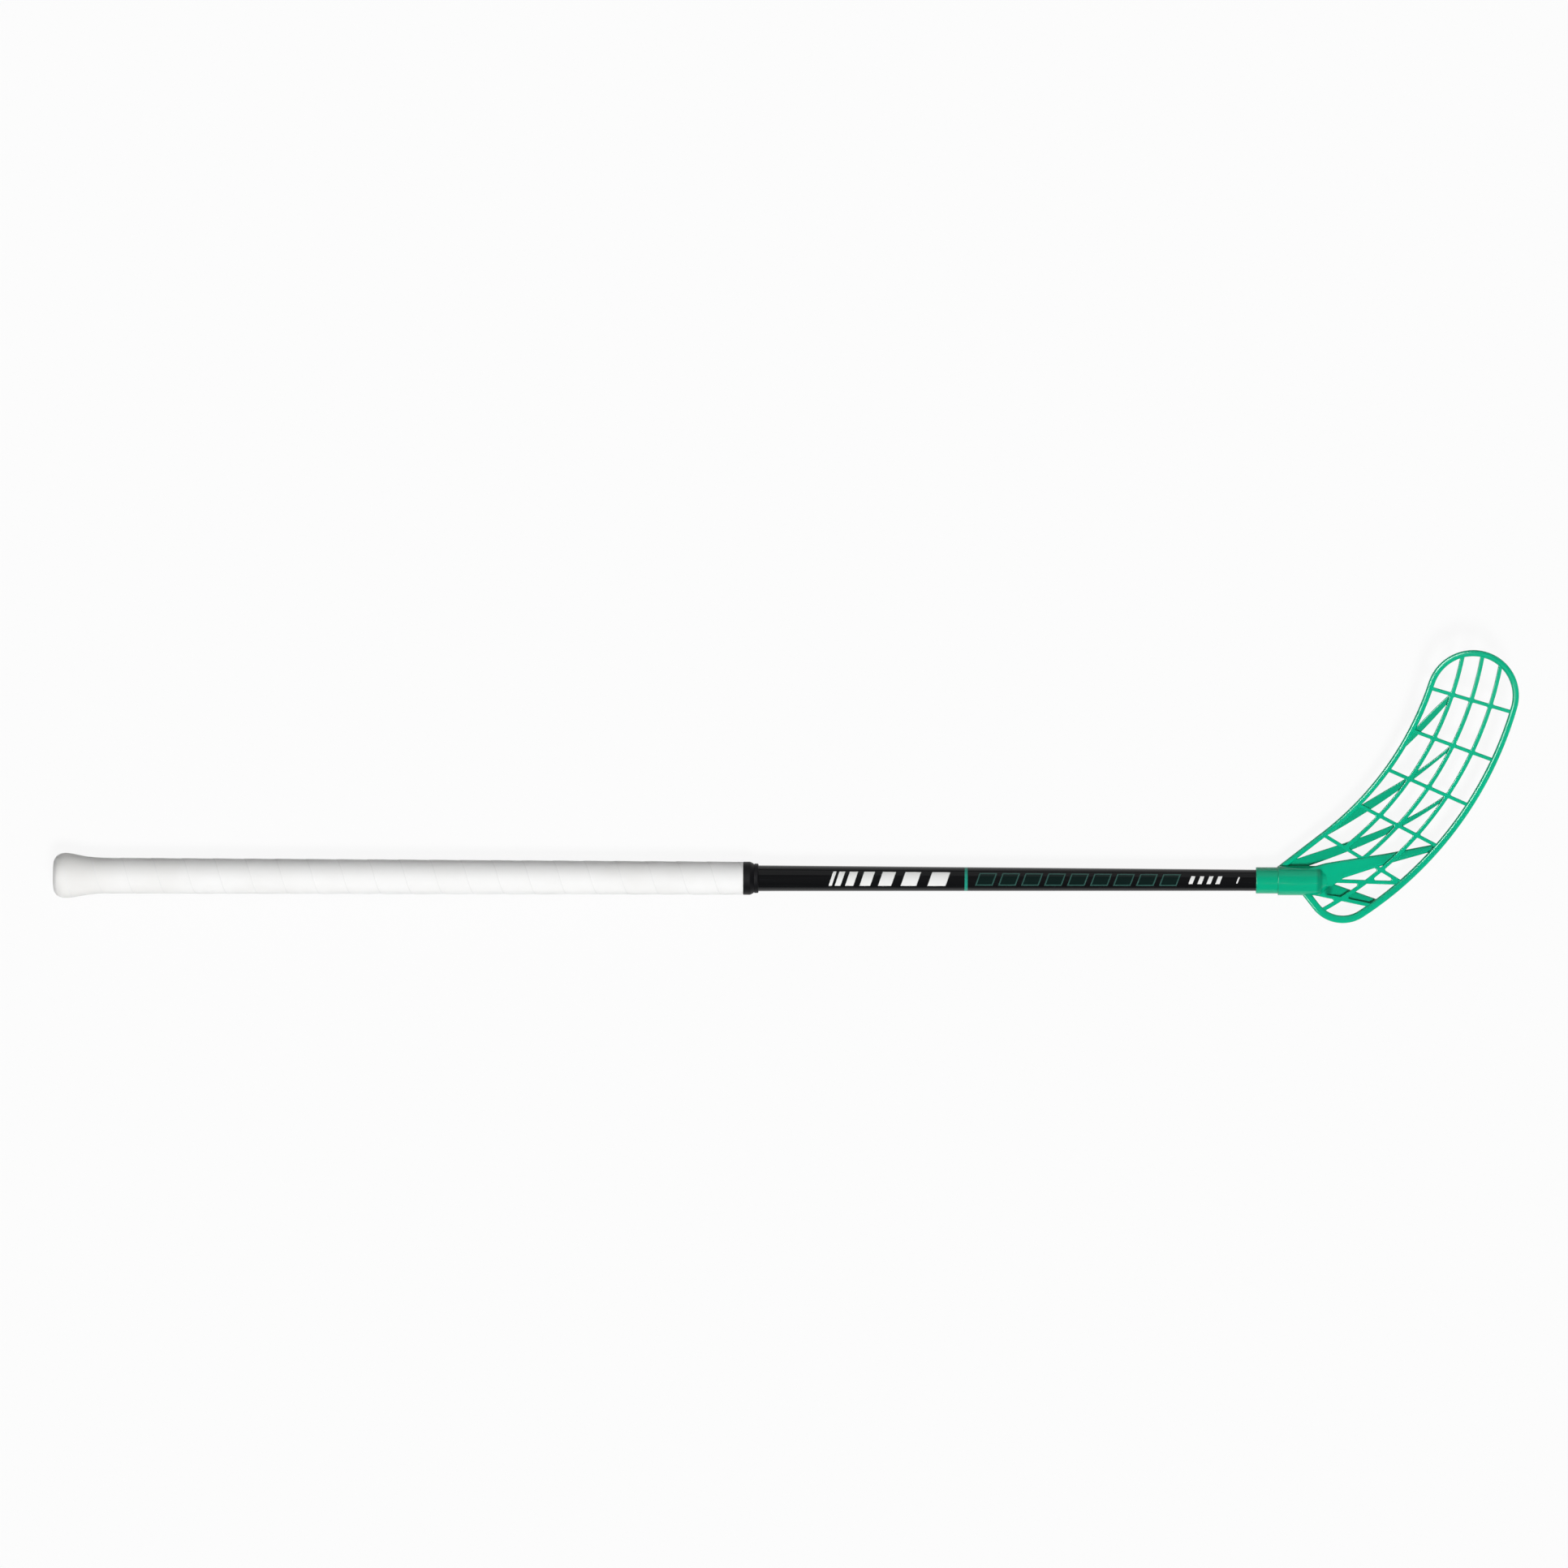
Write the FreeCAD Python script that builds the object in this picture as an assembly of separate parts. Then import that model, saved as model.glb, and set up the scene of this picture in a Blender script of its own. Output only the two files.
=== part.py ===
# Floorball stick, lying with its playing face up.
# X runs along the shaft from the butt to the blade, Y points to the blade's toe, Z points up.
# The origin is the middle of the flat butt end, on the shaft's axis. Sizes are in millimetres.
import FreeCAD, Part
import math
import os

# Shaft: tapered composite tube, measured from the butt end of the stick.
SHAFT_END = 1040.0
SHAFT_BUTT_DIAMETER = 24.0
SHAFT_COLLAR_DIAMETER = 21.4
SHAFT_TIP_DIAMETER = 17.6
SHAFT_WALL = 1.6
FIT_CLEARANCE = 0.05
ROUND_LIMIT = 0.45

# Butt cap: end wall, hollow plug in the tube, and the flare that the tape is wound over.
CAP_END_WALL = 4.0
CAP_PLUG_LENGTH = 34.0
CAP_PLUG_WALL = 2.4
CAP_FACE_DIAMETER = 21.0
CAP_SKIRT_EDGE = 0.6
KNOB_DIAMETER = 37.0
KNOB_LENGTH = 9.4
KNOB_CROWN = 9.0
FLARE_END = 43.0

# Grip tape, wound from the butt to the collar, with a thinned tail under the collar.
GRIP_START = 3.2
GRIP_END = 567.5
GRIP_THICKNESS = 2.75
GRIP_TAIL_LENGTH = 5.0
GRIP_TAIL_THICKNESS = 2.1

# Rubber collar over the end of the tape: a band that tapers to a groove, then a bead.
COLLAR_BAND_LENGTH = 6.0
COLLAR_TAPER_LENGTH = 2.8
COLLAR_GROOVE_LENGTH = 0.5
COLLAR_BEAD_LENGTH = 3.5
COLLAR_BAND_DIAMETER = 27.3
COLLAR_BEAD_DIAMETER = 24.3
COLLAR_GROOVE_DEPTH = 0.5
COLLAR_BAND_ROUND = 0.5
COLLAR_TAPER_ROUND = 3.0
COLLAR_BEAD_ROUND = 1.1
COLLAR_CLEARANCE = 0.1

# Blade socket, glued over the shaft's tip.
SOCKET_DEPTH = 50.5
SOCKET_WALL = 1.75
SOCKET_NECK_LENGTH = 18.0
SOCKET_STEP = 1.3
SOCKET_LIP_ROUND = 0.7
SOCKET_END_WALL = 2.0
SOCKET_END_ROUND = 5.0
SOCKET_NOSE_LENGTH = 9.0
SOCKET_NOSE_DIAMETER = 10.0
GLUE_THICKNESS = 0.25
GLUE_LENGTH = 46.0

# Blade outline seen from above, measured from the socket's mouth on the shaft's axis.
TOE_X = 176.7
TOE_Y = 152.2
TOE_RADIUS = 37.8
HEEL_X = 71.6
HEEL_Y = -4.1
HEEL_RADIUS = 30.9
OUTER_EDGE_RADIUS = 299.0
INNER_EDGE_RADIUS = 251.5
INNER_EDGE_ANGLE = 37.8
INNER_EDGE_START = 17.3
HEEL_EDGE_ANGLE = 128.0
ARM_ROOT = 6.0

# Blade depth: the whole moulding follows one bend, hollow on the playing face.
HOOK_RADIUS = 700.0
HOOK_START = 10.0
BLADE_DROP = 2.5

# Rim: a rounded bar, widest at the heel and thinnest along the inner edge.
RIM_TOE_WIDTH = 5.2
RIM_OUTER_WIDTH = 5.7
RIM_HEEL_WIDTH = 6.3
RIM_INNER_WIDTH = 4.6
RIM_DEPTH = 8.4
RIM_ROUND = 2.0

# Lattice: cross ribs at even steps along both edges, long ribs at shares of the cross ribs' length.
LATTICE_FRONT = 3.2
LATTICE_BACK = 2.4
CROSS_RIB_COUNT = 5
CROSS_RIB_WIDTH = 3.0
CROSS_INNER_FIRST = 46.7
CROSS_OUTER_FIRST = 42.5
CROSS_END_GAP = 4.2
LONG_RIB_WIDTH = 3.4
LONG_RIB_SHARES = (0.27, 0.5, 0.73)
HEEL_RIB_RUN = 27.0
HEEL_RIB_ANGLE = 229.0
NOSE_RIB_WIDTH = 3.2
SOLE_RIB_WIDTH = 3.2
SOLE_RIB_LEAD = 2.0
SOLE_RIB_END = 12.0
RIB_ROUND = 0.7
WINDOW_ROUND = 1.2

# Fins behind the lattice, with their width at each crossing that they run through.
FIN_FRONT = 1.4
FIN_BACK = 3.8
FIN_LEAD = 15.5
FIN_BELLY_SHARE = 0.5
TOE_FIN_WIDTHS = (4.0, 5.6, 3.4)
MIDDLE_FIN_WIDTHS = (4.0, 7.2, 4.4, 3.0)
SOCKET_FIN_START = 27.0
SOCKET_FIN_WIDTHS = (8.5, 7.6, 4.6, 3.0)

# Wings that run out of the socket to the outer rim and to the heel.
WING_ROUND = 2.2
WING_ROOT_LEAD = 7.5
WING_ROOT_SIDE = 2.0
WING_ROOT_WIDTH = 16.0
WING_ROOT_FRONT = 8.5
WING_NECK_REACH = 9.5
WING_NECK_SIDE = 4.8
WING_NECK_WIDTH = 19.9
WING_NECK_FRONT = 6.8
WING_WAIST_REACH = 19.8
WING_WAIST_SIDE = 9.2
WING_WAIST_WIDTH = 14.7
WING_WAIST_FRONT = 4.6
WING_LEVEL_SHARE = 0.35
WING_LEVEL_WIDTH = 10.2
WING_DROP_SHARE = 0.46
WING_DROP_WIDTH = 8.8
WING_TIP_WIDTH = 5.0
HEEL_WING_ROOT_LEAD = 4.5
HEEL_WING_ROOT_SIDE = -4.5
HEEL_WING_ROOT_WIDTH = 14.0
HEEL_WING_NECK_REACH = 16.0
HEEL_WING_NECK_SIDE = -9.2
HEEL_WING_NECK_WIDTH = 11.0
HEEL_WING_END = 16.5
HEEL_WING_SINK = 0.5

# Tolerance of inside tests, spots looked at round an edge, and the share of a quarter turn's middle.
INSIDE_TOLERANCE = 1e-4
SPOT_COUNT = 8
SPOT_TURN = 10.0
SPOT_REACH = 0.2
DIAGONAL = math.sqrt(0.5)


def vec(x, y, z=0.0):
    """A point or direction."""
    return FreeCAD.Vector(x, y, z)


def toward(heading):
    """Unit direction in the XY plane at a heading in degrees."""
    return vec(math.cos(math.radians(heading)), math.sin(math.radians(heading)))


def heading_of(direction):
    """Heading in degrees of a direction in the XY plane."""
    return math.degrees(math.atan2(direction.y, direction.x))


def between(start, end, share):
    """Point at a share of the way between two points."""
    return start + (end - start) * share


def line(start, end):
    """Straight edge."""
    return Part.LineSegment(start, end).toShape()


def arc(start, middle, end):
    """Circular edge through three points."""
    return Part.Arc(start, middle, end).toShape()


def arc_about(centre, radius, first, last):
    """Circular edge about a centre between two headings in degrees."""
    return arc(*[centre + toward(angle) * radius for angle in (first, (first + last) / 2, last)])


def meeting(first, first_radius, second, second_radius):
    """Point at a distance from each of two centres, on the left of the way from the first to the second."""
    gap = (second - first).Length
    way = (second - first).normalize()
    along = (first_radius ** 2 - second_radius ** 2 + gap ** 2) / (2 * gap)
    aside = math.sqrt(first_radius ** 2 - along ** 2)
    return first + way * along + vec(-way.y, way.x) * aside


def polyline(points):
    """Straight edges through a row of points."""
    return [line(a, b) for a, b in zip(points, points[1:])]


def curve(points):
    """Straight edge through two points, or one smooth edge through more."""
    if len(points) == 2:
        return line(*points)
    smooth = Part.BSplineCurve()
    smooth.interpolate(points)
    return smooth.toShape()


def flat_face(edges):
    """Face in the XY plane inside a closed row of edges, facing up."""
    return Part.Face(Part.Plane(), Part.Wire(edges))


def spun(edges):
    """Solid of revolution about the shaft's axis from a closed profile in X and radius."""
    return flat_face(edges).revolve(vec(0, 0), vec(1, 0), 360)


def ring(corners):
    """Solid of revolution from the corners (x, radius) or (x, radius, rounding) of a profile."""
    points = [vec(corner[0], corner[1]) for corner in corners]
    edges = []
    corner_ends = []
    for i, corner in enumerate(corners):
        point = points[i]
        rounding = corner[2] if len(corner) > 2 else 0.0
        back = (points[i - 1] - point).normalize()
        ahead = (points[(i + 1) % len(points)] - point).normalize()
        half_turn = back.getAngle(ahead) / 2
        reach = rounding / math.tan(half_turn)
        enter = point + back * reach
        leave = point + ahead * reach
        if rounding:
            middle = point + (back + ahead).normalize() * rounding * (1 / math.sin(half_turn) - 1)
            edges.append(arc(enter, middle, leave))
        corner_ends.append((enter, leave))
    for i in range(len(points)):
        edges.append(line(corner_ends[i - 1][1], corner_ends[i][0]))
    return spun(Part.__sortEdges__(edges))


# Where pieces meet along the shaft.
MOUTH = SHAFT_END - SOCKET_DEPTH
COLLAR_TAPER = GRIP_END + COLLAR_BAND_LENGTH
COLLAR_GROOVE = COLLAR_TAPER + COLLAR_TAPER_LENGTH
COLLAR_BEAD = COLLAR_GROOVE + COLLAR_GROOVE_LENGTH
COLLAR_END = COLLAR_BEAD + COLLAR_BEAD_LENGTH
GRIP_TAIL_END = GRIP_END + GRIP_TAIL_LENGTH
GLUE_RADIUS = SHAFT_TIP_DIAMETER / 2 + FIT_CLEARANCE + GLUE_THICKNESS
BORE_RADIUS = GLUE_RADIUS + FIT_CLEARANCE
NECK_RADIUS = BORE_RADIUS + SOCKET_WALL
BODY_RADIUS = NECK_RADIUS + SOCKET_STEP


def shaft_radius(x):
    """Outer radius of the tube at a distance from the butt end."""
    stations = [(0.0, SHAFT_BUTT_DIAMETER), (COLLAR_END, SHAFT_COLLAR_DIAMETER),
                (MOUTH, SHAFT_TIP_DIAMETER)]
    for (x0, wide), (x1, narrow) in zip(stations, stations[1:]):
        if x <= x1:
            return (wide + (narrow - wide) * (x - x0) / (x1 - x0)) / 2
    return SHAFT_TIP_DIAMETER / 2


def shaft_tube():
    """Tapered tube from the cap's end wall to the bottom of the socket."""
    outside = [(x, shaft_radius(x)) for x in (CAP_END_WALL, COLLAR_END, MOUTH, SHAFT_END)]
    inside = [(x, radius - SHAFT_WALL) for x, radius in reversed(outside)]
    return ring(outside + inside)


def knob_edges(thickness, foot_radius):
    """Profile of the butt knob set in by a thickness, from the axis to its foot on the handle."""
    face = vec(0, CAP_FACE_DIAMETER / 2 - thickness)
    crown = vec(KNOB_LENGTH, KNOB_DIAMETER / 2 - thickness)
    foot = vec(FLARE_END, foot_radius)
    # The crown's arc and the flare's arc share one slope where they meet.
    slope = 2 * (crown.y - foot.y) / (foot.x - crown.x)
    meet = crown + vec(KNOB_CROWN, -slope * KNOB_CROWN / 2)
    crown_middle = crown + vec(KNOB_CROWN / 2, -slope * KNOB_CROWN / 8)
    flare_middle = foot + vec((meet.x - foot.x) / 2, (meet.y - foot.y) / 4)
    nose_middle = vec(KNOB_LENGTH * (1 - DIAGONAL), between(face, crown, DIAGONAL).y)
    nose = arc(face, nose_middle, crown)
    return [line(vec(0, 0), face), nose, arc(crown, crown_middle, meet), arc(meet, flare_middle, foot)]


def handle_solid(thickness, foot_radius, tail):
    """Solid of the handle inside one layer: the knob, then the (x, radius) corners of its tail."""
    corners = [vec(FLARE_END, foot_radius)] + [vec(x, radius) for x, radius in tail]
    corners += [vec(corners[-1].x, 0), vec(0, 0)]
    return spun(knob_edges(thickness, foot_radius) + polyline(corners))


def disc_before(x):
    """Plain cylinder that holds everything on the handle before a distance from the butt end."""
    return Part.makeCylinder(KNOB_DIAMETER, x + KNOB_DIAMETER, vec(-KNOB_DIAMETER, 0), vec(1, 0, 0))


def grip_outside():
    """Outer form of the handle with its tape on, ending in the thinned tail."""
    tail_radius = shaft_radius(GRIP_TAIL_END) + GRIP_TAIL_THICKNESS
    tail = [(GRIP_END, shaft_radius(GRIP_END) + GRIP_THICKNESS), (GRIP_END, tail_radius),
            (GRIP_TAIL_END, tail_radius)]
    return handle_solid(0.0, shaft_radius(FLARE_END) + GRIP_THICKNESS, tail)


def grip_wrap():
    """Tape on the handle, from the cap's bare end to the tail under the collar."""
    tail = [(x, shaft_radius(x) + FIT_CLEARANCE) for x in (FLARE_END, GRIP_TAIL_END)]
    foot = shaft_radius(FLARE_END) + CAP_SKIRT_EDGE + FIT_CLEARANCE
    under = handle_solid(GRIP_THICKNESS - FIT_CLEARANCE, foot, tail)
    return grip_outside().cut([under, disc_before(GRIP_START)])


def butt_cap():
    """End cap: bare flat end, flare under the tape, slot for the tube and a hollow plug inside it."""
    bare_end = grip_outside().common(disc_before(GRIP_START - FIT_CLEARANCE))
    flare = handle_solid(GRIP_THICKNESS, shaft_radius(FLARE_END) + CAP_SKIRT_EDGE, [])
    plug_end = CAP_END_WALL + CAP_PLUG_LENGTH
    plug_radius = shaft_radius(plug_end) - SHAFT_WALL - FIT_CLEARANCE
    hollow = plug_radius - CAP_PLUG_WALL
    tube_start = CAP_END_WALL - FIT_CLEARANCE
    tube_room = [(x, shaft_radius(x) + FIT_CLEARANCE) for x in (tube_start, FLARE_END)]
    bore = ring([(tube_start, 0.0)] + tube_room + [(FLARE_END, 0.0)])
    plug = ring([(CAP_END_WALL / 2, hollow), (CAP_END_WALL / 2, plug_radius),
                 (plug_end, plug_radius), (plug_end, hollow)])
    return bare_end.fuse(flare).cut(bore).fuse(plug)


def grip_collar():
    """Rubber ring: a band over the tape's tail that tapers to a groove, and a bead on the bare shaft."""
    start = GRIP_END + COLLAR_CLEARANCE
    shoulder = GRIP_TAIL_END + COLLAR_CLEARANCE
    over_tail = shaft_radius(GRIP_TAIL_END) + GRIP_TAIL_THICKNESS + COLLAR_CLEARANCE
    on_shaft = shaft_radius(shoulder) + COLLAR_CLEARANCE
    band = COLLAR_BAND_DIAMETER / 2
    bead = COLLAR_BEAD_DIAMETER / 2
    groove = bead - COLLAR_GROOVE_DEPTH
    lip_round = COLLAR_GROOVE_DEPTH * ROUND_LIMIT
    bead_round = min(COLLAR_BEAD_ROUND, (bead - on_shaft) * 2 * ROUND_LIMIT)
    return ring([(start, over_tail), (start, band, COLLAR_BAND_ROUND),
                 (COLLAR_TAPER, band, COLLAR_TAPER_ROUND), (COLLAR_GROOVE, bead, lip_round),
                 (COLLAR_GROOVE, groove), (COLLAR_BEAD, groove), (COLLAR_BEAD, bead, lip_round),
                 (COLLAR_END, bead, bead_round), (COLLAR_END, on_shaft),
                 (shoulder, on_shaft), (shoulder, over_tail)])


def blade_adhesive():
    """Film of hot-melt glue round the shaft's tip."""
    start = SHAFT_END - GLUE_LENGTH
    inside = SHAFT_TIP_DIAMETER / 2 + FIT_CLEARANCE
    return ring([(start, inside), (start, GLUE_RADIUS), (SHAFT_END, GLUE_RADIUS), (SHAFT_END, inside)])


class BladePlan:
    """Outline of the blade from above, measured from the socket's mouth, moved in by the rim's widths."""

    def __init__(self, at_toe=0.0, at_outer=0.0, at_heel=0.0, at_inner=0.0):
        self.toe = vec(TOE_X, TOE_Y)
        self.toe_radius = TOE_RADIUS - at_toe
        self.heel = vec(HEEL_X, HEEL_Y)
        self.heel_radius = HEEL_RADIUS - at_heel
        self.outer_radius = OUTER_EDGE_RADIUS - at_outer
        self.inner_radius = INNER_EDGE_RADIUS + at_inner
        self.long_way = (self.toe - self.heel).normalize()
        self.edge_way = toward(INNER_EDGE_ANGLE)
        self.edge_left = toward(INNER_EDGE_ANGLE + 90)
        self.edge_start = vec(INNER_EDGE_START, NECK_RADIUS) - self.edge_left * at_inner
        from_heel = self.outer_radius - self.heel_radius
        from_toe = self.outer_radius - self.toe_radius
        self.outer_centre = meeting(self.heel, from_heel, self.toe, from_toe)
        self.straight = self.length_of_straight_edge()
        self.inner_centre = self.on_inner(self.straight) + self.edge_left * self.inner_radius
        self.inner_first = INNER_EDGE_ANGLE - 90
        self.inner_last = heading_of(self.toe - self.inner_centre)
        self.outer_first = heading_of(self.heel - self.outer_centre)
        self.outer_last = heading_of(self.toe - self.outer_centre)
        bend_length = math.radians(self.inner_last - self.inner_first) * self.inner_radius
        self.inner_length = self.straight + bend_length
        self.outer_length = math.radians(self.outer_last - self.outer_first) * self.outer_radius

    def length_of_straight_edge(self):
        """Length of the inner edge's straight stretch, so that its arc touches the toe's circle."""
        offset = self.edge_start + self.edge_left * self.inner_radius - self.toe
        along = offset.dot(self.edge_way)
        spare = offset.dot(offset) - (self.inner_radius + self.toe_radius) ** 2
        return -along - math.sqrt(along ** 2 - spare)

    def on_inner(self, distance):
        """Point on the inner edge at a distance from the socket."""
        if distance <= self.straight:
            return self.edge_start + self.edge_way * distance
        heading = self.inner_first + math.degrees((distance - self.straight) / self.inner_radius)
        return self.inner_centre + toward(heading) * self.inner_radius

    def on_outer(self, distance):
        """Point on the outer edge at a distance from the heel."""
        heading = self.outer_first + math.degrees(distance / self.outer_radius)
        return self.outer_centre + toward(heading) * self.outer_radius

    def on_toe(self, heading):
        """Point on the toe's round at a heading from its centre."""
        return self.toe + toward(heading) * self.toe_radius

    def on_heel(self, heading):
        """Point on the heel's round at a heading from its centre."""
        return self.heel + toward(heading) * self.heel_radius

    def arm_root(self):
        """End of the straight edge that runs from the heel's round up into the socket."""
        low = self.on_heel(HEEL_EDGE_ANGLE + 90)
        way = toward(HEEL_EDGE_ANGLE)
        return low + way * ((ARM_ROOT - BODY_RADIUS - low.y) / way.y)

    def edges(self):
        """Edges of the outline from the socket round the toe and the heel and back to the socket."""
        heel_last = HEEL_EDGE_ANGLE + 90
        return [
            line(self.on_inner(-ARM_ROOT), self.on_inner(self.straight)),
            arc_about(self.inner_centre, self.inner_radius, self.inner_first, self.inner_last),
            arc_about(self.toe, self.toe_radius, self.inner_last + 180, self.outer_last),
            arc_about(self.outer_centre, self.outer_radius, self.outer_last, self.outer_first),
            arc_about(self.heel, self.heel_radius, self.outer_first, heel_last - 360),
            line(self.on_heel(heel_last), self.arm_root())]


RIM_WIDTHS = (RIM_TOE_WIDTH, RIM_OUTER_WIDTH, RIM_HEEL_WIDTH, RIM_INNER_WIDTH)
OUTLINE = BladePlan()
RIM_MIDDLE = BladePlan(*[width / 2 for width in RIM_WIDTHS])
RIM_INSIDE = BladePlan(*RIM_WIDTHS)


def bend_height(point):
    """Height of the blade's middle surface over a point of the plan."""
    along = (point - OUTLINE.heel).dot(OUTLINE.long_way) - HOOK_START
    return HOOK_RADIUS - math.sqrt(HOOK_RADIUS ** 2 - along ** 2) - BLADE_DROP


def hook_slab(front, back):
    """Bent slab over the whole blade, from a height in front of its middle surface to one behind it."""
    span = (OUTLINE.toe - OUTLINE.heel).Length + TOE_RADIUS + HEEL_RADIUS
    reach = math.degrees(math.asin(span / HOOK_RADIUS))
    centre = vec(0, HOOK_RADIUS - BLADE_DROP)
    top = arc_about(centre, HOOK_RADIUS - front, 270 - reach, 270 + reach)
    bottom = arc_about(centre, HOOK_RADIUS + back, 270 - reach, 270 + reach)
    sides = [line(top.Vertexes[i].Point, bottom.Vertexes[i].Point) for i in (0, 1)]
    face = flat_face(Part.__sortEdges__([top, bottom] + sides))
    slab = face.extrude(vec(0, 0, 2 * span))
    slab.translate(vec(0, 0, -span))
    slab.rotate(vec(0, 0), vec(1, 0, 0), 90)
    slab.rotate(vec(0, 0), vec(0, 0, 1), heading_of(OUTLINE.long_way))
    slab.translate(OUTLINE.heel + OUTLINE.long_way * HOOK_START)
    return slab


def upright(face):
    """Tall prism over a plan face, through the whole depth of the blade."""
    prism = face.extrude(vec(0, 0, HOOK_RADIUS))
    prism.translate(vec(0, 0, -HOOK_RADIUS / 2))
    return prism


def moulded(face, front, back, rounding, corner_length):
    """Bar of the blade: a plan face drawn through the bent slab, its edges longer than a length rounded."""
    bar = upright(face).common(hook_slab(front, back)).Solids[0]
    long_edges = []
    for edge in bar.Edges:
        ends = [vertex.Point for vertex in edge.Vertexes]
        run = ends[-1] - ends[0]
        if math.hypot(run.x, run.y) > corner_length:
            long_edges.append(edge)
    return bar.makeFillet(min(rounding, ROUND_LIMIT * (front + back)), long_edges)


def ribbon(points, widths):
    """Plan face of a bar along a row of points, with its width at each of them."""
    left = []
    right = []
    for i, point in enumerate(points):
        way = (points[min(i + 1, len(points) - 1)] - points[max(i - 1, 0)]).normalize()
        aside = vec(-way.y, way.x) * (widths[i] / 2)
        left.append(point + aside)
        right.append(point - aside)
    return flat_face([curve(left), line(left[-1], right[-1]), curve(right[::-1]), line(right[0], left[0])])


def rim():
    """Rounded bar round the whole blade, from the socket's top to its underside."""
    outer = OUTLINE.edges()
    inner = RIM_INSIDE.edges()
    first = line(OUTLINE.on_inner(-ARM_ROOT), RIM_INSIDE.on_inner(-ARM_ROOT))
    last = line(OUTLINE.arm_root(), RIM_INSIDE.arm_root())
    face = flat_face(Part.__sortEdges__(outer + inner + [first, last]))
    rounding = min(RIM_ROUND, ROUND_LIMIT * min(RIM_WIDTHS))
    return moulded(face, RIM_DEPTH / 2, RIM_DEPTH / 2, rounding, 2 * max(RIM_WIDTHS))


def cross_rib_stations(i):
    """Distances of a cross rib's ends along the rim's inner and outer stretch, counted from the socket."""
    share = i / (CROSS_RIB_COUNT - 1)
    inner_last = RIM_MIDDLE.inner_length - CROSS_END_GAP
    outer_last = RIM_MIDDLE.outer_length - CROSS_END_GAP
    inner = CROSS_INNER_FIRST + (inner_last - CROSS_INNER_FIRST) * share
    outer = CROSS_OUTER_FIRST + (outer_last - CROSS_OUTER_FIRST) * share
    return inner, outer


def cross_rib_ends(i):
    """Both ends of a cross rib on the middle of the rim."""
    inner, outer = cross_rib_stations(i)
    return RIM_MIDDLE.on_inner(inner), RIM_MIDDLE.on_outer(outer)


def crossing(i, j):
    """Point where cross rib i, counted from the socket, meets long rib j, counted from the inner edge."""
    return between(*cross_rib_ends(i), LONG_RIB_SHARES[j])


def arc_ribbon(centre, radius, first, last, width):
    """Plan face of a bar along an arc about a centre between two headings in degrees."""
    inner = radius - width / 2
    outer = radius + width / 2
    starts = [centre + toward(first) * reach for reach in (inner, outer)]
    ends = [centre + toward(last) * reach for reach in (outer, inner)]
    return flat_face([line(*starts), arc_about(centre, outer, first, last),
                      line(*ends), arc_about(centre, inner, last, first)])


def long_ribs():
    """Plan faces of the long ribs: arcs through the crossings to the toe, the last one on to the heel."""
    faces = []
    last = CROSS_RIB_COUNT - 1
    for j in range(len(LONG_RIB_SHARES)):
        path = arc(crossing(0, j), crossing(last / 2, j), crossing(last, j)).Curve
        centre = path.Center
        toe_end = meeting(centre, path.Radius, RIM_MIDDLE.toe, RIM_MIDDLE.toe_radius)
        first = heading_of(crossing(0, j) - centre)
        if j == len(LONG_RIB_SHARES) - 1:
            first -= math.degrees(HEEL_RIB_RUN / path.Radius)
            faces.append(heel_rib(centre, centre + toward(first) * path.Radius))
        faces.append(arc_ribbon(centre, path.Radius, first, heading_of(toe_end - centre), LONG_RIB_WIDTH))
    return faces


def heel_rib(centre, start):
    """Plan face of the last long rib's run to the heel, touching its arc about a centre at the start."""
    end = RIM_MIDDLE.on_heel(HEEL_RIB_ANGLE)
    aside = (centre - start).normalize()
    radius = (end - start).dot(end - start) / (2 * (end - start).dot(aside))
    middle = start + aside * radius
    return arc_ribbon(middle, radius, heading_of(end - middle), heading_of(start - middle), LONG_RIB_WIDTH)


def is_window_corner(edge, prism):
    """Whether an edge of an upright prism is an inner corner, with more of the prism round it than not."""
    if edge.Length < HOOK_RADIUS / 2:
        return False
    point = vec(edge.Vertexes[0].X, edge.Vertexes[0].Y)
    headings = [SPOT_TURN + 360 * i / SPOT_COUNT for i in range(SPOT_COUNT)]
    spots = [point + toward(heading) * SPOT_REACH for heading in headings]
    return sum(prism.isInside(spot, INSIDE_TOLERANCE, True) for spot in spots) > SPOT_COUNT / 2


def inside_edges(solid, plan):
    """Edges of a plate's front and back face that lie inside a plan face."""
    found = []
    for face in solid.Faces:
        if not isinstance(face.Surface, Part.Cylinder) or face.Surface.Radius < HOOK_RADIUS / 2:
            continue
        for edge in face.Edges:
            middle = edge.valueAt((edge.FirstParameter + edge.LastParameter) / 2)
            if plan.isInside(vec(middle.x, middle.y), INSIDE_TOLERANCE, True):
                found.append(edge)
    return found


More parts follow.
